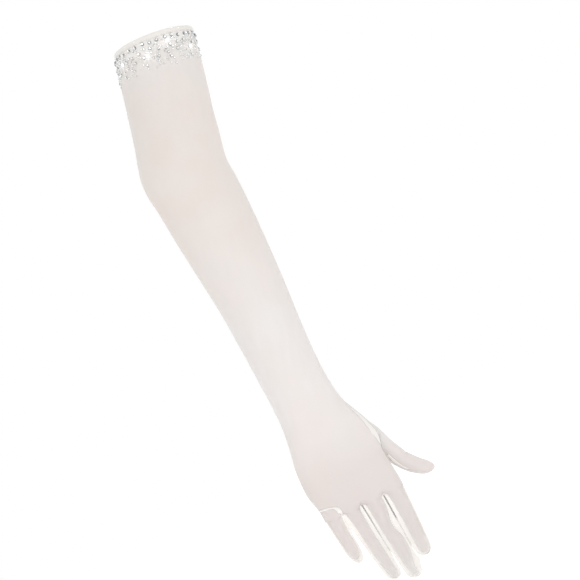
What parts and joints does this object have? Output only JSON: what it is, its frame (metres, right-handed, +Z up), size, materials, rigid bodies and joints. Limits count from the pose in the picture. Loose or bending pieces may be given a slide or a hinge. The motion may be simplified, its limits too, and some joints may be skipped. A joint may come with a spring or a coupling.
{
  "type": "beaded tulle evening glove",
  "caption": "Long sheer tulle evening glove for a right hand, in its worn form: open mouth with a folded hem, a band of cut stones below it, set-in thumb and seamed fingers.",
  "frame": {"origin": "middle of the mouth, where the upper arm goes in", "axes": "+Z up from the middle fingertip to the mouth; -Y is the way the back of the hand faces; +X is the thumb's side"},
  "size_m": [0.1295, 0.1041, 0.5543],
  "materials": {
    "tulle": "sheer ivory stretch tulle, matt with a soft sheen",
    "hem": "the same tulle folded over, so whiter and less sheer",
    "rhinestone": "clear cut stones with a bright foil back, polished"
  },
  "bodies": {
    "root": {"top_hem": "hem", "beaded_cuff": "rhinestone", "sleeve_and_hand": "tulle", "thumb": "tulle", "little_finger": "tulle"}
  },
  "joints": []
}
